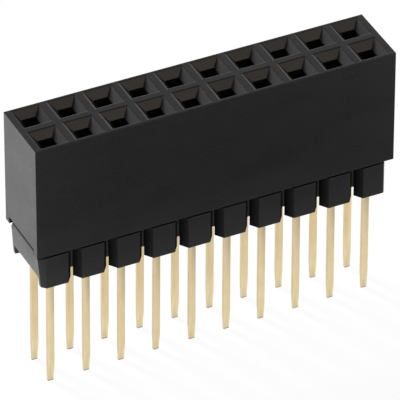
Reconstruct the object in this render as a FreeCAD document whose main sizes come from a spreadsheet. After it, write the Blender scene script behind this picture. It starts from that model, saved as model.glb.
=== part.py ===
import FreeCAD, Part
import os
import re
import Sketcher

# Elevated dual-row socket strip, 2 rows of 10, on a 2.54 mm grid.
# Frame: X along the strip, Y across the rows, Z up, in millimetres.
# The origin is under the middle of the strip, level with the tips of the tails.
# The moulded housing is on top, the loose comb-shaped spacer is under it, and twenty
# stamped contacts reach from the sockets through both and on down to z = 0.

os.makedirs("parts", exist_ok=True)
doc = FreeCAD.newDocument("elevated_socket_strip")

# Driving sizes in millimetres, each one kept in its own cell of the sheet.
SIZES = (
    # The grid that housing, spacer and contacts share
    ("columns", 10),
    ("pitch", 2.54),
    ("row_pitch", 2.54),
    # Housing
    ("end_reach", 1.42),
    ("side_reach", 1.2),
    ("housing_height", 8.5),
    ("corner_round", 0.12),
    ("funnel_opening", 1.98),
    ("funnel_depth", 0.52),
    ("socket_mouth", 1.0),
    ("mouth_land", 0.5),
    ("chamber_width", 1.7),
    ("chamber_length", 1.62),
    ("recess_depth", 0.5),
    ("skirt_wall", 0.55),
    # Spacer
    ("skirt_gap", 0.08),
    ("ledge_play", 0.22),
    ("spacer_setback", 0.02),
    ("spacer_height", 2.46),
    ("foot_height", 0.76),
    ("foot_depth", 0.6),
    ("block_face", 1.48),
    ("block_slot", 0.22),
    ("left_end_reach", 1.06),
    ("left_end_draft", 0.27),
    ("left_cut_across", 0.31),
    ("left_cut_deep", 0.29),
    ("left_cut_front", 0.13),
    ("left_cut_rear", 0.7),
    ("right_end_reach", 0.83),
    ("right_cut", 0.12),
    ("tail_clearance", 0.04),
    # Contacts
    ("stock", 0.25),
    ("tail_width", 0.5),
    ("tail_free", 8.5),
    ("taper_length", 1.4),
    ("tip_width", 0.4),
    ("tip_stock", 0.19),
    ("side_clearance", 0.02),
    ("seat_clearance", 0.1),
    ("shoulder_offset", 0.4),
    ("shoulder_rise", 0.5),
    ("channel_height", 1.3),
    ("channel_depth", 1.05),
    ("beam_top_gap", 0.2),
    ("lip_height", 1.0),
    ("lip_half_gap", 0.46),
    ("pinch_half_gap", 0.24),
    ("beam_tip_depth", 0.65),
    ("bend_round", 0.5),
)

# Heights and sides that follow from the driving sizes.
DERIVED = (
    ("housing_length", "pitch * (columns - 1) + 2 * end_reach"),
    ("housing_width", "row_pitch + 2 * side_reach"),
    ("ledge_top", "tail_free + spacer_height"),
    ("housing_bottom", "ledge_top + skirt_gap"),
    ("recess_top", "housing_bottom + recess_depth"),
    ("housing_top", "housing_bottom + housing_height"),
    ("chamber_top", "housing_top - funnel_depth - mouth_land"),
    ("first_column", "-pitch * (columns - 1) / 2"),
    ("spacer_width", "housing_width - 2 * spacer_setback"),
    ("ledge_width", "housing_width - 2 * skirt_wall - 2 * ledge_play"),
    ("spacer_left", "first_column - left_end_reach"),
    ("spacer_left_top", "spacer_left - left_end_draft"),
    ("spacer_right", "-first_column + right_end_reach"),
    ("notch_slope", "(pitch - block_slot - block_face) / 2"),
    ("shoulder_bottom", "recess_top + seat_clearance"),
    ("channel_bottom", "shoulder_bottom + shoulder_rise"),
    ("channel_top", "channel_bottom + channel_height"),
    ("channel_half", "chamber_width / 2 - side_clearance"),
    ("beam_top", "chamber_top - beam_top_gap"),
    ("pinch_height", "beam_top - lip_height"),
)

sheet = doc.addObject("Spreadsheet::Sheet", "sizes")
for row, (name, amount) in enumerate(SIZES, start=1):
    sheet.set("A%d" % row, name)
    sheet.set("B%d" % row, str(amount))
    sheet.setAlias("B%d" % row, name)
for row, (name, formula) in enumerate(DERIVED, start=len(SIZES) + 1):
    sheet.set("A%d" % row, name)
    sheet.setAlias("B%d" % row, name)
    sheet.set("B%d" % row, "=" + formula)
doc.recompute()

NAMES = [name for name, _ in SIZES + DERIVED]
ORIGIN = -1
X_AXIS = -1
Y_AXIS = -2


def bound(formula):
    """The same formula, with every name of a size read from the sheet."""
    return re.sub(r"[a-z_]+", lambda word: named(word.group()), formula)


def named(word):
    return "sizes." + word if word in NAMES else word


def value(formula):
    """The present value of a formula in millimetres."""
    return float(sheet.evalExpression(formula))


def bind(thing, field, formula):
    """Tie one field of an object to the sheet."""
    thing.setExpression(field, bound(formula))


def new_body(label):
    body = doc.addObject("PartDesign::Body", label)
    body.Label = label
    return body


def new_sketch(body, name, role, height="0"):
    """A sketch on one of the body's own planes, moved along the plane's normal by height."""
    plane = [item for item in body.Origin.OriginFeatures if item.Role == role][0]
    sketch = body.newObject("Sketcher::SketchObject", name)
    sketch.AttachmentSupport = [(plane, "")]
    sketch.MapMode = "FlatFace"
    if height != "0":
        bind(sketch, "AttachmentOffset.Base.z", height)
    return sketch


def outline(sketch, corners):
    """A closed outline of straight edges, each corner held by two bound distances."""
    points = [FreeCAD.Vector(value(across), value(along), 0) for across, along in corners]
    first = sketch.GeometryCount
    count = len(points)
    for index in range(count):
        sketch.addGeometry(Part.LineSegment(points[index], points[(index + 1) % count]), False)
    for index in range(count):
        following = first + (index + 1) % count
        sketch.addConstraint(Sketcher.Constraint("Coincident", first + index, 2, following, 1))
    for index, corner in enumerate(corners):
        edge = first + index
        for kind, axis, formula, now in (
            ("DistanceX", Y_AXIS, corner[0], points[index].x),
            ("DistanceY", X_AXIS, corner[1], points[index].y),
        ):
            if formula == "0":
                sketch.addConstraint(Sketcher.Constraint("PointOnObject", edge, 1, axis))
            else:
                number = sketch.addConstraint(
                    Sketcher.Constraint(kind, ORIGIN, 1, edge, 1, now)
                )
                bind(sketch, "Constraints[%d]" % number, formula)


def rectangle(sketch, left, right, low, high):
    outline(sketch, ((left, low), (right, low), (right, high), (left, high)))


def centred_square(sketch, side, across, along):
    """A square of the given side about a centre."""
    half = "(%s) / 2" % side
    rectangle(
        sketch,
        "%s - %s" % (across, half),
        "%s + %s" % (across, half),
        "%s - %s" % (along, half),
        "%s + %s" % (along, half),
    )


def pad(body, name, sketch, length, both_ways=False):
    feature = body.newObject("PartDesign::Pad", name)
    feature.Profile = sketch
    feature.Midplane = both_ways
    bind(feature, "Length", length)
    doc.recompute()
    return feature


def pocket(body, name, sketch, length, both_ways=False, upwards=False):
    """Cut a sketch's outline away, and stop if nothing was cut."""
    before = body.Shape.Volume
    feature = body.newObject("PartDesign::Pocket", name)
    feature.Profile = sketch
    feature.Midplane = both_ways
    feature.Reversed = upwards
    bind(feature, "Length", length)
    doc.recompute()
    if not body.Shape.Volume < before:
        raise RuntimeError("%s cut nothing" % name)
    return feature


def repeat(body, name, features, sketch, direction, count, spacing, crosswise=None):
    """Repeat features along the strip and, if asked, across the rows."""
    pattern = body.newObject("PartDesign::LinearPattern", name)
    pattern.Originals = features
    pattern.Direction = (sketch, [direction])
    pattern.Mode = "Spacing"
    bind(pattern, "Offset", spacing)
    bind(pattern, "Occurrences", count)
    if crosswise:
        pattern.Direction2 = (sketch, [crosswise])
        pattern.Mode2 = "Extent"
        bind(pattern, "Length2", "row_pitch")
        pattern.Occurrences2 = 2
    body.Tip = pattern
    doc.recompute()
    return pattern


def edges_where(shape, test):
    """Names of the edges whose middle passes the test."""
    names = []
    for index, edge in enumerate(shape.Edges, start=1):
        if test(edge.valueAt((edge.FirstParameter + edge.LastParameter) / 2)):
            names.append("Edge%d" % index)
    return names


def fillet(body, name, base, names, radius):
    feature = body.newObject("PartDesign::Fillet", name)
    feature.Base = (base, names)
    bind(feature, "Radius", radius)
    doc.recompute()
    return feature


def near(one, other):
    return abs(one - other) < 1e-4


def make_housing():
    """One moulding: a block with twenty funnels, and chambers open to a recess below."""
    body = new_body("housing")

    plan = new_sketch(body, "housing_plan", "XY_Plane", "housing_bottom")
    rectangle(
        plan,
        "-housing_length / 2",
        "housing_length / 2",
        "-housing_width / 2",
        "housing_width / 2",
    )
    block = pad(body, "housing_block", plan, "housing_height")

    half_length = value("housing_length") / 2
    half_width = value("housing_width") / 2
    corners = edges_where(
        block.Shape,
        lambda middle: near(abs(middle.x), half_length) and near(abs(middle.y), half_width),
    )
    fillet(body, "housing_corners", block, corners, "corner_round")

    # The recess under the housing runs out at both ends and leaves a skirt front and back.
    section = new_sketch(body, "recess_plan", "XY_Plane", "housing_bottom")
    rectangle(
        section,
        "-housing_length / 2",
        "housing_length / 2",
        "-housing_width / 2 + skirt_wall",
        "housing_width / 2 - skirt_wall",
    )
    pocket(body, "underside_recess", section, "recess_depth", upwards=True)

    # One chamber, taken from the recess up to the land below the funnel.
    chamber_plan = new_sketch(body, "chamber_plan", "XY_Plane", "recess_top")
    rectangle(
        chamber_plan,
        "first_column - chamber_width / 2",
        "first_column + chamber_width / 2",
        "-row_pitch / 2 - chamber_length / 2",
        "-row_pitch / 2 + chamber_length / 2",
    )
    chamber = pocket(
        body, "contact_chamber", chamber_plan, "chamber_top - recess_top", upwards=True
    )
    repeat(
        body, "contact_chambers", [chamber], chamber_plan, "H_Axis", "columns", "pitch", "V_Axis"
    )

    # One socket: a straight square mouth through the land, and the funnel that leads to it.
    mouth_plan = new_sketch(body, "mouth_plan", "XY_Plane", "housing_top")
    centred_square(mouth_plan, "socket_mouth", "first_column", "-row_pitch / 2")
    mouth = pocket(body, "socket_hole", mouth_plan, "funnel_depth + mouth_land")
    repeat(body, "socket_holes", [mouth], mouth_plan, "H_Axis", "columns", "pitch", "V_Axis")

    funnel_top = new_sketch(body, "funnel_top", "XY_Plane", "housing_top")
    centred_square(funnel_top, "funnel_opening", "first_column", "-row_pitch / 2")
    funnel_foot = new_sketch(body, "funnel_foot", "XY_Plane", "housing_top - funnel_depth")
    centred_square(funnel_foot, "socket_mouth", "first_column", "-row_pitch / 2")
    funnel = body.newObject("PartDesign::SubtractiveLoft", "funnel")
    funnel.Profile = funnel_top
    funnel.Sections = [funnel_foot]
    funnel.Ruled = True
    doc.recompute()
    repeat(body, "funnels", [funnel], funnel_top, "H_Axis", "columns", "pitch", "V_Axis")
    return body


def make_spacer():
    """One moulding: a comb that keeps the housing off the board and guides the tails."""
    body = new_body("spacer")

    plan = new_sketch(body, "spacer_plan", "XY_Plane", "tail_free")
    straight_left = "spacer_left + left_cut_across"
    front = "-spacer_width / 2"
    back = "spacer_width / 2"
    outline(
        plan,
        (
            (straight_left, front),
            ("spacer_right - right_cut", front),
            ("spacer_right", front + " + right_cut"),
            ("spacer_right", back + " - right_cut"),
            ("spacer_right - right_cut", back),
            (straight_left, back),
        ),
    )
    pad(body, "spacer_block", plan, "spacer_height")

    # The left end leans outwards as it rises, and its two cut corners change on the way.
    sections = []
    for name, height, end, front_cut, rear_cut in (
        ("left_end_foot", "tail_free", "spacer_left", "left_cut_deep", "left_cut_deep"),
        ("left_end_top", "ledge_top", "spacer_left_top", "left_cut_front", "left_cut_rear"),
    ):
        section = new_sketch(body, name, "XY_Plane", height)
        outline(
            section,
            (
                (straight_left, front),
                (straight_left, back),
                (end, back + " - " + rear_cut),
                (end, front + " + " + front_cut),
            ),
        )
        sections.append(section)
    left_end = body.newObject("PartDesign::AdditiveLoft", "left_end")
    left_end.Profile = sections[0]
    left_end.Sections = [sections[1]]
    left_end.Ruled = True
    doc.recompute()

    # The ledge fits into the recess of the housing and carries it.
    ledge = new_sketch(body, "ledge_plan", "XY_Plane", "ledge_top")
    rectangle(
        ledge,
        "spacer_left_top",
        "spacer_right",
        "-ledge_width / 2",
        "ledge_width / 2",
    )
    pad(body, "ledge", ledge, "recess_top - ledge_top")

    # A channel underneath leaves one rail of feet along each side.
    channel = new_sketch(body, "channel_plan", "XY_Plane", "tail_free")
    rectangle(
        channel,
        "spacer_left_top",
        "spacer_right",
        "-spacer_width / 2 + foot_depth",
        "spacer_width / 2 - foot_depth",
    )
    pocket(body, "underside_channel", channel, "foot_height", upwards=True)

    # Sloped notches between the columns part each rail into ten feet.
    notch_plan = new_sketch(body, "notch_plan", "XY_Plane", "tail_free")
    middle = "first_column + pitch / 2"
    for side in ("-", ""):
        face = side + "spacer_width / 2"
        inner = side + "(spacer_width / 2 - foot_depth)"
        beyond = side + "(spacer_width / 2 + notch_slope)"
        outline(
            notch_plan,
            (
                (middle + " - block_slot / 2", inner),
                (middle + " - block_slot / 2 - notch_slope", face),
                (middle + " - block_slot / 2 - notch_slope", beyond),
                (middle + " + block_slot / 2 + notch_slope", beyond),
                (middle + " + block_slot / 2 + notch_slope", face),
                (middle + " + block_slot / 2", inner),
            ),
        )
    notch = pocket(body, "block_notch", notch_plan, "spacer_height", upwards=True)
    repeat(body, "block_notches", [notch], notch_plan, "H_Axis", "columns - 1", "pitch")

    # Each tail has its own slot through the ledge.
    slot_plan = new_sketch(body, "slot_plan", "XY_Plane", "tail_free")
    rectangle(
        slot_plan,
        "first_column - tail_width / 2 - tail_clearance",
        "first_column + tail_width / 2 + tail_clearance",
        "-row_pitch / 2 - stock / 2 - tail_clearance",
        "-row_pitch / 2 + stock / 2 + tail_clearance",
    )
    slot = pocket(body, "tail_slot", slot_plan, "recess_top - tail_free", upwards=True)
    repeat(body, "tail_slots", [slot], slot_plan, "H_Axis", "columns", "pitch", "V_Axis")
    return body


def make_contact_form():
    """The stamped strip that all contacts are: tail, jogged shoulder, channel and two beams.

    It is drawn about its own centre line, with the web of its channel at the back.
    """
    body = new_body("contact_form")

    # The tail and its jog, seen from the side: the strip steps back to the channel's web.
    side = new_sketch(body, "strip_side", "YZ_Plane")
    outline(
        side,
        (
            ("-stock / 2", "taper_length"),
            ("stock / 2", "taper_length"),
            ("stock / 2", "shoulder_bottom"),
            ("shoulder_offset + stock / 2", "channel_bottom"),
            ("shoulder_offset + stock / 2", "channel_bottom + stock"),
            ("shoulder_offset - stock / 2", "channel_bottom + stock"),
            ("shoulder_offset - stock / 2", "channel_bottom + stock / 2"),
            ("-stock / 2", "shoulder_bottom + stock / 2"),
        ),
    )
    pad(body, "tail", side, "tail_width", both_ways=True)

    shank_end = new_sketch(body, "shank_end", "XY_Plane", "taper_length")
    rectangle(shank_end, "-tail_width / 2", "tail_width / 2", "-stock / 2", "stock / 2")
    tip_end = new_sketch(body, "tip_end", "XY_Plane")
    rectangle(tip_end, "-tip_width / 2", "tip_width / 2", "-tip_stock / 2", "tip_stock / 2")
    tip = body.newObject("PartDesign::AdditiveLoft", "tail_tip")
    tip.Profile = shank_end
    tip.Sections = [tip_end]
    tip.Ruled = True
    doc.recompute()

    # The web of the channel stands behind the socket, across the whole chamber.
    web = new_sketch(body, "web_plan", "XY_Plane", "channel_bottom")
    rectangle(
        web,
        "-channel_half",
        "channel_half",
        "shoulder_offset - stock / 2",
        "shoulder_offset + stock / 2",
    )
    pad(body, "channel_web", web, "channel_height")

    # Both walls of the channel run on upwards as beams, which lean in to the pinch and
    # flare out again at the lips. They are seen here from the front.
    beams = new_sketch(body, "beams", "XZ_Plane", "-(shoulder_offset + stock / 2)")
    for hand in ("-", ""):
        outline(
            beams,
            (
                (hand + "channel_half", "channel_bottom"),
                (hand + "channel_half", "channel_top"),
                (hand + "(pinch_half_gap + stock)", "pinch_height"),
                (hand + "(lip_half_gap + stock)", "beam_top"),
                (hand + "lip_half_gap", "beam_top"),
                (hand + "pinch_half_gap", "pinch_height"),
                (hand + "(channel_half - stock)", "channel_top"),
                (hand + "(channel_half - stock)", "channel_bottom"),
            ),
        )
    walls = pad(body, "beam_walls", beams, "channel_depth")

    # The inner side of each pinch is a smooth bulge, where it wipes along a mating post.
    half_gap = value("pinch_half_gap")
    height = value("pinch_height")
    bends = edges_where(
        walls.Shape,
        lambda middle: near(abs(middle.x), half_gap) and near(middle.z, height),
    )
    fillet(body, "pinch_bulge", walls, bends, "bend_round")

    # The beams get narrower towards their lips, seen from the side.
    trim = new_sketch(body, "beam_trim", "YZ_Plane")
    back = "shoulder_offset + stock / 2"
    front = back + " - channel_depth"
    inset = "(channel_depth - beam_tip_depth) / 2"
    for face, inner in ((back, back + " - " + inset), (front, front + " + " + inset)):
        outline(
            trim,
            (
                (face, "channel_top"),
                (face, "beam_top + stock"),
                (inner, "beam_top + stock"),
                (inner, "pinch_height"),
            ),
        )
    pocket(body, "beam_taper", trim, "2 * chamber_width", both_ways=True)
    return body


def make_contact(form, row, column):
    """A contact in its row and column, with its web turned to the middle of the strip."""
    body = new_body("contact_%s_%02d" % (row, column + 1))
    strip = doc.addObject("PartDesign::FeatureBase", "strip_%s_%02d" % (row, column + 1))
    body.Group = [strip]
    body.Tip = strip
    strip.BaseFeature = form
    side = "-" if row == "front" else ""
    turn = 0 if row == "front" else 180
    body.Placement.Rotation = FreeCAD.Rotation(FreeCAD.Vector(0, 0, 1), turn)
    bind(body, "Placement.Base.x", "first_column + pitch * %d" % column)
    bind(body, "Placement.Base.y", side + "row_pitch / 2")
    return body


def check(bodies):
    """Stop before anything is written if an object failed or a solid isn't sound."""
    doc.recompute()
    for item in doc.Objects:
        if "Invalid" in item.State or "Error" in item.State:
            raise RuntimeError("%s failed: %s" % (item.Name, item.State))
    for body in bodies:
        shape = body.Shape
        if shape.isNull() or not shape.isValid() or len(shape.Solids) != 1:
            raise RuntimeError("%s is not one sound solid" % body.Label)


bodies = [make_housing(), make_spacer()]
contact_form = make_contact_form()
for row in ("front", "rear"):
    for column in range(int(value("columns"))):
        bodies.append(make_contact(contact_form, row, column))
check(bodies)
for body in bodies:
    body.Shape.exportStep("parts/%s.step" % body.Label)
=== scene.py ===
import math

import bmesh
import bpy
import numpy as np
from mathutils import Matrix, Vector


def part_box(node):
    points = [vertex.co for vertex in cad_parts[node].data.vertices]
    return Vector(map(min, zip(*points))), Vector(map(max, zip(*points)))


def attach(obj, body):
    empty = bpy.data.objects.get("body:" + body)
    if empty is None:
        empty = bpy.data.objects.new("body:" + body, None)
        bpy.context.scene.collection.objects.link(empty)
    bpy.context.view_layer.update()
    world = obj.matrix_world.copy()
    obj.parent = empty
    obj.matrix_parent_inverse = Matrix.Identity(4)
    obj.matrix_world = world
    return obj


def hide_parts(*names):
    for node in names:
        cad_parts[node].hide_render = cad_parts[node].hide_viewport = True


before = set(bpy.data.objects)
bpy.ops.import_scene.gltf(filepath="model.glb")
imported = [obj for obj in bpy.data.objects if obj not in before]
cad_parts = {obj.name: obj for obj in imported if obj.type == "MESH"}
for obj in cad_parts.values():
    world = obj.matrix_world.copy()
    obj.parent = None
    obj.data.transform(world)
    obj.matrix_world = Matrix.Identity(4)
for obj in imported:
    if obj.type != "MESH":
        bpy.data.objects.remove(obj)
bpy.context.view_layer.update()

bl_info = {
    "name": "Elevated Socket Header",
    "version": (1, 0, 0),
    "blender": (4, 5, 0),
    "location": "View3D > Sidebar > Header",
    "description": "Dresses an elevated dual-row socket header and its small studio",
    "category": "Object",
}

MM = 0.001
ROOT = "root"
ROWS = ("front", "rear")
COLUMNS = len([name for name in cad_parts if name.startswith("contact_front")])

FAR = 1.0  # metres, past every side of the part
SAME_PLACE = 1e-6  # metres, within which two corners are one
SHARP_TURN = math.radians(20)  # faces that turn by more meet in an edge to be rounded
FLAT_TURN = math.radians(1)  # faces that turn by less are one face
SIDEWAYS = 0.9  # least share of a normal that runs along the strip on a side that gets painted shade

WORN_SEED = 4
WORN_LIMIT = 1.7  # most that a funnel's corner is out of place, in usual errors
LEAN_SEED = 7

NOISE_SPAN = (0.3, 0.7)  # where most values of a noise lie
PATCH_SPAN = (0.2, 0.8)  # the same, wider, for softer patches
PLASTIC_INDEX = 1.44
PLASTIC_SHADES = (0.6, 1.5)  # darkest and palest grain, as shares of the plastic's colour
PLASTIC_ROUGHNESS = (0.24, 0.32)
GOLD_DEEPER = (0.97, 0.95, 0.91)  # what the deeper patches keep of each channel of the gold
GOLD_PALER = (1.02, 0.02)  # the paler patches have the first times each channel and the second
GOLD_ROUGHNESS = (0.28, 0.42)
GOLD_BORDER = (0.7, 1.3)  # heights that the gold fades in between, as shares of the darker tip's height

# How white the floor glows: to the camera, and to reflections by the distance from the middle,
# in metres, which counts 4 times along the strip and 10 times across it. To reflections this is
# painted light: a white glow under the part, grey around it and white again far off
FLOOR_WHITE = 0.95
RING_STRETCH = (4, 10, 0)
RING_PAINTED_GLOW = ((0.0, 0.8), (0.11, 0.7), (0.16, 0.16), (0.28, 0.16), (1.0, FLOOR_WHITE))

# Painted shade: in reflections the floor in front is painted darker from the first y to the
# second, in metres
FRONT_SPAN = (-0.011, -0.014)
FRONT_PAINTED_SHADE = 0.45

# Brightness of the backdrop in reflections, by the upward part of the direction
SWEEP = ((0.36, 1.0), (0.6, 0.3), (0.7, 0.39), (0.9, 0.28))

SENSOR_MM = 36


def length(name, description, default_mm):
    """A length, shown in the scene's own unit."""
    return bpy.props.FloatProperty(
        name=name, description=description, default=default_mm * MM, unit="LENGTH", precision=5
    )


def angle(name, description, default_degrees):
    """An angle, kept in radians."""
    return bpy.props.FloatProperty(
        name=name, description=description, default=math.radians(default_degrees), subtype="ANGLE"
    )


def amount(name, description, default):
    """A plain number."""
    return bpy.props.FloatProperty(name=name, description=description, default=default)


def spot(name, description, default_mm):
    """A place in the shared frame."""
    return bpy.props.FloatVectorProperty(
        name=name, description=description, default=tuple(value * MM for value in default_mm),
        subtype="TRANSLATION", unit="LENGTH", precision=5,
    )


def tone(name, description, default):
    """A colour, in linear light."""
    return bpy.props.FloatVectorProperty(
        name=name, description=description, default=default, subtype="COLOR", min=0, max=1
    )


class GridSizes(bpy.types.PropertyGroup):
    """The grid that housing, spacer and contacts share."""

    pitch: length("Pitch", "Distance from column to column and from row to row", 2.54)


class HousingSizes(bpy.types.PropertyGroup):
    """Shape and finish of the housing."""

    opening: length("Funnel Opening", "Side of a funnel at the top", 1.98)
    mouth: length("Mouth", "Side of the straight hole below a funnel", 1.0)
    funnel_depth: length("Funnel Depth", "Height of a funnel", 0.52)
    land: length("Land", "Height of the straight hole", 0.5)
    chamber_across: length("Chamber Width", "Chamber's width along the strip", 1.7)
    chamber_along: length("Chamber Length", "Chamber's length across the rows", 1.62)
    recess: length("Recess", "Depth of the recess underneath", 0.5)
    skirt: length("Skirt", "Wall left in front of and behind the recess", 0.55)
    unevenness: length("Unevenness", "Usual error of a funnel's corner", 0.012)
    rim_round: length("Rim Round", "Width rounded off either side of a funnel's rim", 0.13)
    web_round: length("Web Round", "The same, along the web between the rows", 0.09)
    wall_round: length("Wall Round", "The same, along thin walls, crisp rims and the foot", 0.05)
    outer_round: length("Outer Round", "The same, around the top of the housing", 0.04)
    inner_round: length("Inner Round", "The same, along all other edges", 0.03)
    colour: tone("Plastic", "Colour of the moulded plastic", (0.0095, 0.0095, 0.0101))


class SpacerSizes(bpy.types.PropertyGroup):
    """Shape and finish of the spacer."""

    foot_height: length("Foot Height", "Height of the channel between the feet", 0.7)
    foot_depth: length("Foot Depth", "Depth of a foot across the rows", 0.6)
    block_face: length("Block Face", "Width of a block at its face", 1.54)
    block_slot: length("Block Slot", "Gap between two blocks at their roots", 0.15)
    ledge_half: length("Ledge", "Half the width of the ledge on top", 1.7)
    ledge_height: length("Ledge Height", "From the blocks to the roof of the recess", 0.64)
    ledge_gap: length("Ledge Gap", "Dark joint left above the ledge", 0.06)
    ledge_lead: length("Ledge Lead", "Lead-in chamfer on the left end of the ledge", 0.3)
    left_reach: length("Left Reach", "From the first column to the left end at the feet", 1.06)
    left_draft: length("Left Draft", "Lean of the left end over the height of the blocks", 0.27)
    cut_across: length("Cut Across", "Left corner cuts along the strip, at the feet", 0.31)
    cut_deep: length("Cut Deep", "Left corner cuts across the rows, at the feet", 0.29)
    cut_front: length("Cut Front", "Front left corner cut across the rows, at the top", 0.13)
    cut_rear: length("Cut Rear", "Rear left corner cut across the rows, at the top", 0.62)
    right_cut: length("Right Cut", "Corner cuts at the right end", 0.12)
    slot_across: length("Slot Across", "Tail slot along the strip", 0.58)
    slot_along: length("Slot Along", "Tail slot across the rows", 0.33)
    edge_round: length("Edge Round", "Width rounded off either side of an edge", 0.04)
    foot_round: length("Foot Round", "The same, under the feet and at the notches' roots", 0.02)
    colour: tone("Plastic", "Colour of the moulded plastic", (0.0095, 0.0095, 0.0101))
    # Painted shade: a notch's plastic is painted this many times paler at the face than deep in
    # the notch
    notch_painted_light: amount("Notch Painted Light", "How many times paler a notch's plastic is at the face", 3.6)


class ContactSizes(bpy.types.PropertyGroup):
    """Shape and finish of the contacts."""

    edge_round: length("Edge Round", "Radius that plating and stamping leave on an edge", 0.03)
    lean: length("Lean", "Most that a single tail's tip stands out of line", 0.03)
    fan: length("Fan", "How far the tips at both ends stand outwards along the strip", 0.115)
    twist: length("Twist", "How far tips at the right stand back and at the left forwards", 0.1)
    push: length("Push", "How far all tips stand back", 0.11)
    # The tails are coloured darker at the tip up to this height, in the colour given two lines
    # below
    dark_tip: length("Dark Tip", "Height of the sheared end that carries no plating", 0.09)
    colour: tone("Gold", "Colour of the gold plating", (0.825, 0.69, 0.43))
    dark_tip_colour: tone("Dark Tip Colour", "Colour of the metal under the plating", (0.36, 0.33, 0.27))
    # Painted shade: the tails' sides are painted with this share of the gold's colour, darker
    # than their faces
    shaded: amount("Painted Side Shade", "Share of the gold's colour left on sheared sides", 0.87)


class StudioSizes(bpy.types.PropertyGroup):
    """Camera, lamps and floor."""

    azimuth: angle("Azimuth", "Camera's turn about the part", -25.68)
    elevation: angle("Elevation", "Camera's height above the horizon", 36.18)
    roll: angle("Roll", "Camera's turn about its line of sight", -0.09)
    distance: length("Distance", "From the camera to the plane through the origin", 393.8)
    sight_right: length("Sight Right", "How far right of the origin the camera looks", -0.054)
    sight_up: length("Sight Up", "How far above the origin the camera looks", 8.177)
    lens_mm: amount("Lens", "Focal length in mm, for a sensor 36 mm wide", 534.1)
    key_place: spot("Key Place", "Place of the key softbox, behind the part", (-205, 463, 309))
    key_side: length("Key Side", "Side of the key softbox", 120)
    key_power: amount("Key Power", "Power of the key softbox in watts", 6.2)
    key_colour: tone("Key Colour", "Colour of the key softbox", (1, 1, 1))
    warm_place: spot("Warm Place", "Place of the warm softbox, in front", (140, -221, 298))
    warm_side: length("Warm Side", "Side of the warm softbox", 260)
    warm_power: amount("Warm Power", "Power of the warm softbox in watts", 0.17)
    warm_colour: tone("Warm Colour", "Colour of the warm softbox", (1.0, 0.78, 0.6))
    aim_height: length("Aim Height", "Height above the floor that the softboxes face", 10)
    soft_light: amount("Soft Light", "Strength of the even light from all around", 0.15)
    floor_side: length("Floor Side", "Side of the square floor", 3000.0)
    floor_colour: tone("Floor", "Colour of the floor", (0.96, 0.96, 0.96))


def cell_surface(lines, solid, place):
    """Closed surface of the filled cells of a block that planes cut into cells.

    lines holds the x, y and z values of the planes, and solid says of each cell whether it is
    filled. Wherever a filled cell meets an empty one there is one quad, whose corners run
    anticlockwise seen from the empty side. place moves all corners from the straight grid to
    where they belong. Corners and quads come back as whole arrays.
    """
    counts = [len(line) for line in lines]
    grid = np.stack(np.meshgrid(*lines, indexing="ij"), axis=-1).reshape(-1, 3)
    number = np.arange(len(grid)).reshape(counts)
    padded = np.pad(solid, 1)
    quads = []
    for axis in range(3):
        turned = np.moveaxis(padded, axis, 0)[:, 1:-1, 1:-1]
        corner = np.moveaxis(number, axis, 0)
        around = (corner[:, :-1, :-1], corner[:, 1:, :-1], corner[:, 1:, 1:], corner[:, :-1, 1:])
        ring = np.stack(around, axis=-1)
        if axis == 1:
            ring = ring[..., ::-1]
        quads.append(ring[turned[:-1] & ~turned[1:]])
        quads.append(ring[turned[1:] & ~turned[:-1]][:, ::-1])
    quads = np.concatenate(quads)
    used, quads = np.unique(quads, return_inverse=True)
    return place(grid)[used], quads.reshape(-1, 4)


def left_solid(lines, cuts):
    """Which cells of a block stay filled after its cuts, each a box of x, y and z limits."""
    middles = np.meshgrid(*[(line[1:] + line[:-1]) / 2 for line in lines], indexing="ij")
    solid = np.ones(middles[0].shape, bool)
    for limits in cuts:
        inside = np.ones(solid.shape, bool)
        for middle, (low, high) in zip(middles, limits):
            inside &= (middle > low) & (middle < high)
        solid[inside] = False
    return solid


def values_of(items, field, width, kind=float):
    """A field of all corners, edges, faces or loops of a mesh, with one row for each."""
    values = np.empty(len(items) * width, kind)
    items.foreach_get(field, values)
    return values.reshape(-1, width)


def edge_turns(mesh):
    """For each edge of a closed mesh, its middle and the cosine between its two faces."""
    corners = values_of(mesh.vertices, "co", 3)
    ends = values_of(mesh.edges, "vertices", 2, int)
    normals = values_of(mesh.polygons, "normal", 3)
    totals = values_of(mesh.polygons, "loop_total", 1, int).ravel()
    loop_edges = values_of(mesh.loops, "edge_index", 1, int).ravel()
    loop_faces = np.repeat(np.arange(len(totals)), totals)
    pairs = loop_faces[np.argsort(loop_edges, kind="stable")].reshape(-1, 2)
    sides = normals[pairs]
    return corners[ends].mean(axis=1), (sides[:, 0] * sides[:, 1]).sum(axis=1)


def weigh_edges(mesh, rule):
    """Bevel weight of each sharp edge, from a rule on the middles of all edges."""
    middles, cosines = edge_turns(mesh)
    weights = np.where(cosines < math.cos(SHARP_TURN), rule(middles), 0.0)
    layer = mesh.attributes.new("bevel_weight_edge", "FLOAT", "EDGE")
    layer.data.foreach_set("value", weights.astype(np.float32))


def round_edges(piece, radius, segments, by_weight=True):
    """Rounds a piece's edges by their weights, or wherever its faces make a sharp turn."""
    bevel = piece.modifiers.new("rounded edges", "BEVEL")
    bevel.limit_method = "WEIGHT" if by_weight else "ANGLE"
    bevel.angle_limit = SHARP_TURN
    bevel.width = radius
    bevel.segments = segments
    bevel.use_clamp_overlap = not by_weight
    bevel.harden_normals = True
    smooth = np.ones(len(piece.data.polygons), bool)
    piece.data.polygons.foreach_set("use_smooth", smooth)


def new_piece(name, corners, faces, node):
    """An object made of whole arrays of corners and faces, in place of a CAD node."""
    mesh = bpy.data.meshes.new(name)
    mesh.from_pydata(corners, [], faces.tolist())
    mesh.update()
    return stand_for(mesh, node)


def stand_for(mesh, node):
    """An object with this mesh and its name, which rides on the root in place of a CAD node."""
    piece = bpy.data.objects.new(mesh.name, mesh)
    bpy.context.scene.collection.objects.link(piece)
    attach(piece, ROOT)
    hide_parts(node)
    return piece


def scaled(colour, share):
    """A colour with each channel times the share."""
    return tuple(channel * share for channel in colour)


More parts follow.
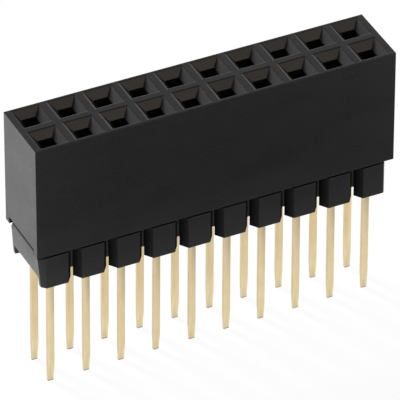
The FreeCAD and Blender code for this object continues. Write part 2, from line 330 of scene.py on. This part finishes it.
class Nodes:
    """Short hand for the nodes of a material or of the world."""

    def __init__(self, holder, coordinates):
        holder.use_nodes = True
        self.tree = holder.node_tree
        self.place = self.add("ShaderNodeTexCoord").outputs[coordinates]

    def add(self, kind, **settings):
        node = self.tree.nodes.new(kind)
        for name, value in settings.items():
            setattr(node, name, value)
        return node

    def link(self, source, target):
        self.tree.links.new(source, target)

    def feed(self, value, socket):
        """Gives a socket a node's output, a plain number or the channels of a colour."""
        if isinstance(value, bpy.types.NodeSocket):
            self.link(value, socket)
        else:
            socket.default_value = (*value, 1) if socket.type == "RGBA" else value

    def along(self, axis):
        """One of the place's three coordinates."""
        node = self.add("ShaderNodeSeparateXYZ")
        self.link(self.place, node.inputs[0])
        return node.outputs[axis]

    def noise(self, per_mm, detail, stretch=(1, 1, 1), roughness=0.5):
        """Noise with so many cells to a millimetre, drawn out along the axes by stretch."""
        mapping = self.add("ShaderNodeMapping")
        mapping.inputs["Scale"].default_value = [1 / times for times in stretch]
        noise = self.add("ShaderNodeTexNoise")
        noise.inputs["Scale"].default_value = per_mm / MM
        noise.inputs["Detail"].default_value = detail
        noise.inputs["Roughness"].default_value = roughness
        self.link(self.place, mapping.inputs["Vector"])
        self.link(mapping.outputs["Vector"], noise.inputs["Vector"])
        return noise.outputs["Fac"]

    def maths(self, operation, *values, **settings):
        """What an operation makes of outputs and plain numbers."""
        node = self.add("ShaderNodeMath", operation=operation, **settings)
        for value, socket in zip(values, node.inputs):
            self.feed(value, socket)
        return node.outputs[0]

    def spread(self, source, span, result):
        """Maps the span of a value to another one, and keeps it within that."""
        node = self.add("ShaderNodeMapRange")
        names = ("From Min", "From Max", "To Min", "To Max")
        for name, value in zip(names, (*span, *result)):
            node.inputs[name].default_value = value
        self.link(source, node.inputs["Value"])
        return node.outputs["Result"]

    def ramp(self, source, stops, interpolation="LINEAR"):
        """Grey that follows a value: each stop is a value and the grey there."""
        node = self.add("ShaderNodeValToRGB")
        node.color_ramp.interpolation = interpolation
        elements = node.color_ramp.elements
        elements.remove(elements[1])
        elements[0].position = stops[0][0]
        for value, _ in stops[1:]:
            elements.new(value)
        for element, (_, grey) in zip(elements, stops):
            element.color = (grey, grey, grey, 1)
        self.link(source, node.inputs[0])
        return node.outputs["Color"]

    def mix(self, share, first, second):
        """Colour between two colours, which may be outputs."""
        node = self.add("ShaderNodeMix", data_type="RGBA")
        self.link(share, node.inputs["Factor"])
        for name, value in (("A", first), ("B", second)):
            sockets = [item for item in node.inputs if item.name == name and item.type == "RGBA"]
            self.feed(value, sockets[0])
        return [item for item in node.outputs if item.type == "RGBA"][0]

    def blend(self, share, first, second):
        """Shader between two shaders."""
        node = self.add("ShaderNodeMixShader")
        for source, target in zip((share, first, second), node.inputs):
            self.link(source, target)
        return node.outputs[0]

    def bump(self, source, strength, depth_mm, below=None):
        """Normals of a relief, on top of those of the one below."""
        node = self.add("ShaderNodeBump")
        node.inputs["Strength"].default_value = strength
        node.inputs["Distance"].default_value = depth_mm * MM
        self.link(source, node.inputs["Height"])
        if below:
            self.link(below, node.inputs["Normal"])
        return node.outputs["Normal"]


class Finish(Nodes):
    """The nodes of one material, on Object coordinates."""

    def __init__(self, name):
        self.material = bpy.data.materials.new(name)
        super().__init__(self.material, "Object")
        self.shader = self.tree.nodes["Principled BSDF"]
        self.output = self.tree.nodes["Material Output"]


def moulded_plastic(name, colour, gloss=0.5, painted_light=None):
    """Satin black plastic: fine grain of the mould, faint flow marks and uneven gloss.

    The last argument holds two distances from the middle of the strip, between which the plastic
    is painted from its colour to the paler one that comes with them: painted shade, darker deep
    in a notch.
    """
    nodes = Finish(name)
    flow = nodes.noise(per_mm=0.45, detail=3, stretch=(2.5, 1, 1))
    grain = nodes.noise(per_mm=9, detail=3, roughness=0.6)
    fine = nodes.noise(per_mm=28, detail=1)
    darkest, palest = [scaled(colour, share) for share in PLASTIC_SHADES]
    shade = nodes.mix(nodes.spread(grain, NOISE_SPAN, (0, 1)), darkest, palest)
    if painted_light:
        inner, outer, paler = painted_light
        side = nodes.maths("ABSOLUTE", nodes.along("Y"))
        shade = nodes.mix(nodes.spread(side, (inner, outer), (0, 1)), shade, paler)
    nodes.link(shade, nodes.shader.inputs["Base Color"])
    satin = nodes.spread(flow, NOISE_SPAN, PLASTIC_ROUGHNESS)
    nodes.link(satin, nodes.shader.inputs["Roughness"])
    surface = nodes.bump(grain, strength=0.25, depth_mm=0.004)
    surface = nodes.bump(fine, strength=0.2, depth_mm=0.0015, below=surface)
    surface = nodes.bump(flow, strength=0.4, depth_mm=0.02, below=surface)
    nodes.link(surface, nodes.shader.inputs["Normal"])
    nodes.shader.inputs["IOR"].default_value = PLASTIC_INDEX
    nodes.shader.inputs["Specular IOR Level"].default_value = gloss
    return nodes.material


def gold_plating(name, colour, dark_tip, dark_tip_colour):
    """Satin gold on rolled strip: long drawn lines, uneven gloss and slightly paler patches.

    Up to a given height the tip is coloured darker, in a second colour, and the gold meets it
    with a soft border.
    """
    nodes = Finish(name)
    drawn = nodes.noise(per_mm=16, detail=3, stretch=(1, 1, 22))
    patches = nodes.noise(per_mm=0.9, detail=2)
    pits = nodes.noise(per_mm=22, detail=2)
    gain, lift = GOLD_PALER
    paler = tuple(min(1.0, channel * gain + lift) for channel in colour)
    deeper = tuple(channel * share for channel, share in zip(colour, GOLD_DEEPER))
    gold = nodes.mix(nodes.spread(patches, PATCH_SPAN, (0, 1)), deeper, paler)
    # Towards the tip the gold turns to the darker colour
    border = [dark_tip * share for share in GOLD_BORDER]
    plated = nodes.spread(nodes.along("Z"), border, (0, 1))
    nodes.link(nodes.mix(plated, dark_tip_colour, gold), nodes.shader.inputs["Base Color"])
    satin = nodes.spread(drawn, NOISE_SPAN, GOLD_ROUGHNESS)
    nodes.link(satin, nodes.shader.inputs["Roughness"])
    surface = nodes.bump(drawn, strength=0.3, depth_mm=0.003)
    surface = nodes.bump(pits, strength=0.15, depth_mm=0.001, below=surface)
    nodes.link(surface, nodes.shader.inputs["Normal"])
    nodes.shader.inputs["Metallic"].default_value = 1.0
    return nodes.material


def column_lines(offsets, pitch):
    """The offsets, repeated about each column."""
    columns = (np.arange(COLUMNS) - (COLUMNS - 1) / 2) * pitch
    return (columns[:, None] + np.array(offsets)).ravel()


def row_lines(offsets, pitch):
    """The offsets, repeated about each row."""
    return (np.array([-pitch / 2, pitch / 2])[:, None] + np.array(offsets)).ravel()


class HEADER_OT_housing(bpy.types.Operator):
    """Make the moulded housing with its funnels, holes and chambers"""

    bl_idname = "header.housing"
    bl_label = "Housing"

    def execute(self, context):
        sizes = context.scene.header_housing
        pitch = context.scene.header_grid.pitch
        columns = column_lines((0,), pitch)
        low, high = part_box("housing")
        opening = sizes.opening / 2
        mouth = sizes.mouth / 2
        across = sizes.chamber_across / 2
        along = sizes.chamber_along / 2
        skirt = high.y - sizes.skirt
        recess_top = low.z + sizes.recess
        funnel_foot = high.z - sizes.funnel_depth
        chamber_top = funnel_foot - sizes.land
        hole_xs = column_lines((-across, -mouth, mouth, across), pitch)
        hole_ys = row_lines((-along, -mouth, mouth, along), pitch)
        xs = np.sort(np.r_[low.x, hole_xs, high.x])
        ys = np.sort(np.r_[low.y, -skirt, hole_ys, skirt, high.y])
        zs = np.array([low.z, recess_top, chamber_top, funnel_foot, high.z])

        cuts = [((-FAR, FAR), (-skirt, skirt), (low.z, recess_top))]
        for column in columns:
            for row in row_lines((0,), pitch):
                chamber = ((column - across, column + across), (row - along, row + along))
                hole = ((column - mouth, column + mouth), (row - mouth, row + mouth))
                cuts.append((*chamber, (recess_top, chamber_top)))
                cuts.append((*hole, (chamber_top, high.z)))
        solid = left_solid((xs, ys, zs), cuts)

        ridge = pitch / 2 - sizes.inner_round
        brim = high.y - pitch / 2 - sizes.wall_round
        wide_xs = np.r_[low.x, column_lines((-ridge, -opening, opening, ridge), pitch), high.x]
        plain_ys = np.r_[low.y, hole_ys, high.y]
        wide_ys = np.r_[
            low.y,
            -pitch / 2 + np.array((-brim, -opening, opening, ridge)),
            pitch / 2 + np.array((-ridge, -opening, opening, brim)),
            high.y,
        ]

        def open_funnels(grid):
            """On the top plane the lines of a mouth move out to those of its opening.

            Those of a chamber move to the middle of the webs and out to the brim. Each corner
            there is a little out of place, as in a worn mould.
            """
            x, y, z = grid.T
            placed = grid.copy()
            top = np.isclose(z, high.z)
            placed[top, 0] = np.interp(x[top], xs, wide_xs)
            placed[top, 1] = np.interp(y[top], plain_ys, wide_ys)
            inner = top & (x > low.x) & (x < high.x) & (np.abs(y) < skirt)
            worn = np.random.default_rng(WORN_SEED).normal(0, sizes.unevenness, (len(grid), 2))
            most = WORN_LIMIT * sizes.unevenness
            placed[inner, :2] += np.clip(worn, -most, most)[inner]
            return placed

        corners, faces = cell_surface((xs, ys, zs), solid, open_funnels)
        piece = new_piece("housing_moulding", corners, faces, "housing")

        def rims(middles):
            """Most rounding on the rims of the funnels, some around the top, less elsewhere.

            The rims on the right of the funnels and the one at the left end are crisp.
            """
            x, y, z = middles.T
            top = np.isclose(z, high.z)
            ends = np.isclose(np.abs(x), high.x)
            sides = np.isclose(np.abs(y), high.y)
            walls = np.abs(y) > pitch / 2 + (opening + mouth) / 2
            foot = np.isclose(z, low.z) & sides
            webs = np.abs(y) < (pitch - opening) / 2
            off = x[:, None] - columns
            off = np.take_along_axis(off, np.abs(off).argmin(axis=1)[:, None], axis=1)[:, 0]
            crisp = (off > mouth) | (x < columns[0] - mouth)
            kinds = (top & (ends | sides), (top & (walls | crisp)) | foot, top & webs, top)
            widths = (sizes.outer_round, sizes.wall_round, sizes.web_round, sizes.rim_round)
            return np.select(kinds, widths, sizes.inner_round) / sizes.rim_round

        weigh_edges(piece.data, rims)
        round_edges(piece, sizes.rim_round, segments=6)
        piece.data.materials.append(moulded_plastic("housing plastic", sizes.colour))
        return {"FINISHED"}


class HEADER_OT_spacer(bpy.types.Operator):
    """Make the comb-shaped spacer with its feet, notches, ledge and tail slots"""

    bl_idname = "header.spacer"
    bl_label = "Spacer"

    def execute(self, context):
        sizes = context.scene.header_spacer
        pitch = context.scene.header_grid.pitch
        columns = column_lines((0,), pitch)
        low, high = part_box("spacer")
        face = high.y
        root = face - sizes.foot_depth
        cut = face - sizes.cut_deep
        ledge = sizes.ledge_half
        block = sizes.block_face / 2
        narrowing = (pitch - sizes.block_slot - sizes.block_face) / 2
        slot_x = sizes.slot_across / 2
        slot_y = sizes.slot_along / 2
        left = columns[0] - sizes.left_reach
        right = high.x
        channel_top = low.z + sizes.foot_height
        ledge_foot = high.z - sizes.ledge_height
        ledge_top = high.z - sizes.ledge_gap
        inner = column_lines((-block, -slot_x, slot_x, block), pitch)[1:-1]
        xs = np.r_[left, left + sizes.cut_across, inner, right - sizes.right_cut, right]
        ys = np.r_[-face, -cut, -root, -ledge, row_lines((-slot_y, slot_y), pitch)]
        ys = np.sort(np.r_[ys, ledge, root, cut, face])
        zs = np.array([low.z, channel_top, ledge_foot, ledge_top - sizes.ledge_lead, ledge_top])

        cuts = [
            ((-FAR, FAR), (-root, root), (low.z, channel_top)),
            ((-FAR, FAR), (ledge, FAR), (ledge_foot, high.z)),
            ((-FAR, FAR), (-FAR, -ledge), (ledge_foot, high.z)),
        ]
        for column in columns:
            for row in row_lines((0,), pitch):
                slot = ((column - slot_x, column + slot_x), (row - slot_y, row + slot_y))
                cuts.append((*slot, (channel_top, high.z)))
        for middle in column_lines((pitch / 2,), pitch)[:-1]:
            notch = (middle - pitch / 2 + block, middle + pitch / 2 - block)
            cuts.append((notch, (-FAR, -root), (low.z, high.z)))
            cuts.append((notch, (root, FAR), (low.z, high.z)))
        solid = left_solid((xs, ys, zs), cuts)

        flanks_x = column_lines((-block, block), pitch)[1:-1]

        def shape(grid):
            """Notches narrow towards their roots, corners are cut, and the left end leans out.

            A corner of the straight grid goes to the middle of its cut. On the left the cuts
            change with the height, and the grid lines between ledge and cut move with them.
            """
            x, y, z = grid.T
            side = np.abs(y)
            depth = np.clip((face - side) / sizes.foot_depth, 0, 1)
            nearest = np.abs(x[:, None] - flanks_x).argmin(axis=1)
            on_flank = np.isclose(x, flanks_x[nearest])
            inwards = np.where(nearest % 2 == 0, narrowing, -narrowing)
            x = x + np.where(on_flank, inwards * depth, 0)

            at_left = np.isclose(grid[:, 0], left)
            at_right = np.isclose(grid[:, 0], right)
            at_face = np.isclose(side, face)
            rise = np.clip((z - low.z) / (ledge_foot - low.z), 0, 1)
            top_cut = np.where(y > 0, sizes.cut_rear, sizes.cut_front)
            deep = sizes.cut_deep + (top_cut - sizes.cut_deep) * rise
            squeeze = (face - deep - ledge) / (cut - ledge)
            squeezed = np.where(side > ledge, ledge + (side - ledge) * squeeze, side)
            placed = np.where(at_left, squeezed, side)
            placed[at_right & np.isclose(side, cut)] = face - sizes.right_cut
            placed[at_left & at_face] = (face - deep / 2)[at_left & at_face]
            placed[at_right & at_face] = face - sizes.right_cut / 2
            x = x - np.where(at_left, sizes.left_draft * rise, 0)
            x = x + np.where(at_left & np.isclose(z, ledge_top), sizes.ledge_lead, 0)
            halved = (x + left + sizes.cut_across) / 2
            x = np.where(at_left & at_face, halved, x)
            x = x - np.where(at_right & at_face, sizes.right_cut / 2, 0)
            return np.stack((x, np.sign(y) * placed, z), axis=1)

        corners, faces = cell_surface((xs, ys, zs), solid, shape)
        piece = new_piece("spacer_moulding", corners, faces, "spacer")

        def rims(middles):
            """Less rounding under the feet and at the roots of the notches."""
            side = np.abs(middles[:, 1])
            feet = np.isclose(middles[:, 2], low.z) & (side > root - sizes.foot_round)
            roots = np.isclose(side, root) & (middles[:, 2] < ledge_foot)
            return np.where(feet | roots, sizes.foot_round / sizes.edge_round, 1.0)

        weigh_edges(piece.data, rims)
        round_edges(piece, sizes.edge_round, segments=3)
        # The notch flanks get a copy of the plastic without gloss, painted paler towards the
        # face: painted shade deep in the notches
        centres = corners[faces].mean(axis=1)
        off = np.abs(centres[:, :1] - columns).min(axis=1)
        between = (np.abs(centres[:, 0]) < columns[-1]) & (np.abs(centres[:, 1]) > root)
        painted_flanks = between & (off > block) & (off < block + narrowing)
        piece.data.polygons.foreach_set("material_index", painted_flanks.astype(np.int32))
        painted_light = (root, face, scaled(sizes.colour, sizes.notch_painted_light))
        painted_notches = moulded_plastic("notch plastic", sizes.colour, gloss=0.0, painted_light=painted_light)
        piece.data.materials.append(moulded_plastic("spacer plastic", sizes.colour))
        piece.data.materials.append(painted_notches)
        return {"FINISHED"}


class HEADER_OT_contacts(bpy.types.Operator):
    """Make the stamped, gold-plated contacts of both rows"""

    bl_idname = "header.contacts"
    bl_label = "Contacts"

    def execute(self, context):
        sizes = context.scene.header_contacts
        free_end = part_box("spacer")[0].z
        draws = np.random.default_rng(LEAN_SEED)
        dark_tip = (sizes.dark_tip, sizes.dark_tip_colour)
        gold = gold_plating("gold plating", sizes.colour, *dark_tip)
        # A darker copy of the gold for the tails' sides: painted shade
        side_shaded_gold = scaled(sizes.colour, sizes.shaded)
        shaded = gold_plating("gold on sheared sides", side_shaded_gold, *dark_tip)
        for row in ROWS:
            for column in range(COLUMNS):
                piece = self.copy_of("contact_%s_%02d" % (row, column + 1))
                share = 2 * column / (COLUMNS - 1) - 1
                row_lean = np.array((sizes.fan * share, sizes.twist * share + sizes.push))
                lean = draws.uniform(-1, 1, 2) * sizes.lean + row_lean
                self.bend(piece.data, free_end, lean)
                self.mark_shaded_sides(piece.data)
                round_edges(piece, sizes.edge_round, segments=2, by_weight=False)
                piece.data.materials.append(gold)
                piece.data.materials.append(shaded)
        return {"FINISHED"}

    def copy_of(self, node):
        """A merged copy of a contact, its flat faces each in one piece."""
        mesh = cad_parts[node].data.copy()
        mesh.name = "strip_" + node
        mesh.materials.clear()
        shell = bmesh.new()
        shell.from_mesh(mesh)
        bmesh.ops.remove_doubles(shell, verts=shell.verts, dist=SAME_PLACE)
        bmesh.ops.dissolve_limit(
            shell, angle_limit=FLAT_TURN, verts=shell.verts, edges=shell.edges
        )
        shell.to_mesh(mesh)
        shell.free()
        return stand_for(mesh, node)

    def bend(self, mesh, free_end, lean):
        """Below the spacer a tail curves out of line, by lean times the square of its depth.

        The depth goes from 0 at the spacer's foot to 1 at the tip.
        """
        corners = values_of(mesh.vertices, "co", 3)
        depth = np.clip(1 - corners[:, 2] / free_end, 0, 1)
        corners[:, :2] += depth[:, None] ** 2 * lean
        mesh.vertices.foreach_set("co", corners.ravel())
        mesh.update()

    def mark_shaded_sides(self, mesh):
        """Gives the second material, the gold with painted shade, to the sides facing along the
        strip.
        """
        normals = values_of(mesh.polygons, "normal", 3)
        sides = np.abs(normals[:, 0]) > SIDEWAYS
        mesh.polygons.foreach_set("material_index", sides.astype(np.int32))


class HEADER_OT_studio(bpy.types.Operator):
    """Set up the floor, the light and the camera"""

    bl_idname = "header.studio"
    bl_label = "Studio"

    def execute(self, context):
        sizes = context.scene.header_studio
        self.floor(sizes)
        self.world(context.scene, sizes)
        self.lamp("key", sizes, mirrored=False)
        self.lamp("warm", sizes, mirrored=True)
        self.camera(context.scene, sizes)
        context.scene.view_settings.view_transform = "Standard"
        return {"FINISHED"}

    def floor(self, sizes):
        half = sizes.floor_side / 2
        mesh = bpy.data.meshes.new("studio_floor")
        corners = [(-half, -half, 0), (half, -half, 0), (half, half, 0), (-half, half, 0)]
        mesh.from_pydata(corners, [], [(0, 1, 2, 3)])
        floor = bpy.data.objects.new("studio_floor", mesh)
        bpy.context.scene.collection.objects.link(floor)
        mesh.materials.append(self.white_floor(sizes.floor_colour))

    def white_floor(self, colour):
        """Pale matt floor, which the camera sees as white with a faint shadow.

        Reflections see painted light and shade on it: it glows white under the part, then grey,
        and white
            again far away, and its own colour is painted darker to them in front.
        """
        nodes = Finish("studio floor")
        nodes.shader.inputs["Roughness"].default_value = 0.9
        nodes.shader.inputs["Specular IOR Level"].default_value = 0.1
        ray = nodes.add("ShaderNodeLightPath").outputs
        # Painted shade in reflections: the floor in front is painted darker
        front = nodes.spread(nodes.along("Y"), FRONT_SPAN, (0, 1))
        front = nodes.maths("MULTIPLY", front, ray["Is Glossy Ray"])
        shade = nodes.mix(front, colour, scaled(colour, FRONT_PAINTED_SHADE))
        nodes.link(shade, nodes.shader.inputs["Base Color"])

        stretched = nodes.add("ShaderNodeVectorMath", operation="MULTIPLY")
        stretched.inputs[1].default_value = RING_STRETCH
        away = nodes.add("ShaderNodeVectorMath", operation="LENGTH")
        nodes.link(nodes.place, stretched.inputs[0])
        nodes.link(stretched.outputs[0], away.inputs[0])
        # Painted light in reflections: the floor glows white under the part, grey around it and
        # white far off
        ring = nodes.ramp(away.outputs["Value"], RING_PAINTED_GLOW)
        white = nodes.maths("MULTIPLY", ray["Is Camera Ray"], FLOOR_WHITE)
        white = nodes.maths("MULTIPLY_ADD", ray["Is Glossy Ray"], ring, white)
        through = ray["Is Transmission Ray"]
        white = nodes.maths("MULTIPLY_ADD", through, FLOOR_WHITE, white, use_clamp=True)
        glow = nodes.add("ShaderNodeEmission")
        glow.inputs["Strength"].default_value = 1.0
        seen = nodes.blend(white, nodes.shader.outputs[0], glow.outputs[0])
        nodes.link(seen, nodes.output.inputs["Surface"])
        return nodes.material

    def world(self, scene, sizes):
        """White to the camera, a sweep that darkens upwards in reflections, and soft light."""
        world = bpy.data.worlds.new("studio light")
        scene.world = world
        nodes = Nodes(world, "Generated")
        nodes.tree.nodes.remove(nodes.tree.nodes["Background"])
        soft, sweep, white = [nodes.add("ShaderNodeBackground") for _ in range(3)]
        soft.inputs["Color"].default_value = (1, 1, 1, 1)
        soft.inputs["Strength"].default_value = sizes.soft_light
        nodes.link(nodes.ramp(nodes.along("Z"), SWEEP, "EASE"), sweep.inputs["Color"])
        white.inputs["Color"].default_value = (1, 1, 1, 1)
        ray = nodes.add("ShaderNodeLightPath").outputs
        light = nodes.blend(ray["Is Glossy Ray"], soft.outputs[0], sweep.outputs[0])
        plain = nodes.maths("MAXIMUM", ray["Is Camera Ray"], ray["Is Transmission Ray"])
        light = nodes.blend(plain, light, white.outputs[0])
        nodes.link(light, nodes.tree.nodes["World Output"].inputs["Surface"])

    def lamp(self, kind, sizes, mirrored):
        """A square softbox, which shows in reflections only where it is mirrored."""
        light = bpy.data.lights.new(kind + " softbox", "AREA")
        light.shape = "SQUARE"
        light.size = getattr(sizes, kind + "_side")
        light.energy = getattr(sizes, kind + "_power")
        light.color = getattr(sizes, kind + "_colour")
        lamp = bpy.data.objects.new(light.name, light)
        lamp.visible_glossy = mirrored
        lamp.location = getattr(sizes, kind + "_place")
        target = Vector((0, 0, sizes.aim_height))
        lamp.rotation_euler = (target - lamp.location).to_track_quat("-Z", "Y").to_euler()
        bpy.context.scene.collection.objects.link(lamp)

    def camera(self, scene, sizes):
        """The camera looks along a line that passes the origin a little to one side."""
        turn, rise = sizes.azimuth, sizes.elevation
        back = Vector(
            (math.sin(turn) * math.cos(rise), -math.cos(turn) * math.cos(rise), math.sin(rise))
        )
        right = Vector((math.cos(turn), math.sin(turn), 0))
        up = back.cross(right)
        axes = Matrix((right, up, back)).transposed()
        axes = axes @ Matrix.Rotation(-sizes.roll, 3, "Z")
        data = bpy.data.cameras.new("camera")
        data.lens = sizes.lens_mm
        data.sensor_width = SENSOR_MM
        data.clip_start = 0.01
        data.clip_end = 10
        camera = bpy.data.objects.new("camera", data)
        offset = Vector((sizes.sight_right, sizes.sight_up, sizes.distance))
        camera.matrix_world = Matrix.Translation(axes @ offset) @ axes.to_4x4()
        scene.collection.objects.link(camera)
        scene.camera = camera


class HEADER_PT_panel(bpy.types.Panel):
    """Buttons for the pieces and for the studio"""

    bl_label = "Socket Header"
    bl_idname = "HEADER_PT_panel"
    bl_space_type = "VIEW_3D"
    bl_region_type = "UI"
    bl_category = "Header"

    def draw(self, context):
        self.layout.prop(context.scene.header_grid, "pitch")
        for group, operator in (
            ("header_housing", "header.housing"),
            ("header_spacer", "header.spacer"),
            ("header_contacts", "header.contacts"),
            ("header_studio", "header.studio"),
        ):
            box = self.layout.box()
            values = getattr(context.scene, group)
            for name in values.bl_rna.properties.keys():
                if name not in ("rna_type", "name"):
                    box.prop(values, name)
            box.operator(operator)


GROUPS = {
    "header_grid": GridSizes,
    "header_housing": HousingSizes,
    "header_spacer": SpacerSizes,
    "header_contacts": ContactSizes,
    "header_studio": StudioSizes,
}
CLASSES = (
    *GROUPS.values(),
    HEADER_OT_housing,
    HEADER_OT_spacer,
    HEADER_OT_contacts,
    HEADER_OT_studio,
    HEADER_PT_panel,
)


def register():
    for item in CLASSES:
        bpy.utils.register_class(item)
    for name, group in GROUPS.items():
        setattr(bpy.types.Scene, name, bpy.props.PointerProperty(type=group))


def unregister():
    for name in GROUPS:
        delattr(bpy.types.Scene, name)
    for item in reversed(CLASSES):
        bpy.utils.unregister_class(item)


def main():
    register()
    bpy.ops.header.housing()
    bpy.ops.header.spacer()
    bpy.ops.header.contacts()
    bpy.ops.header.studio()


if __name__ == "__main__":
    main()
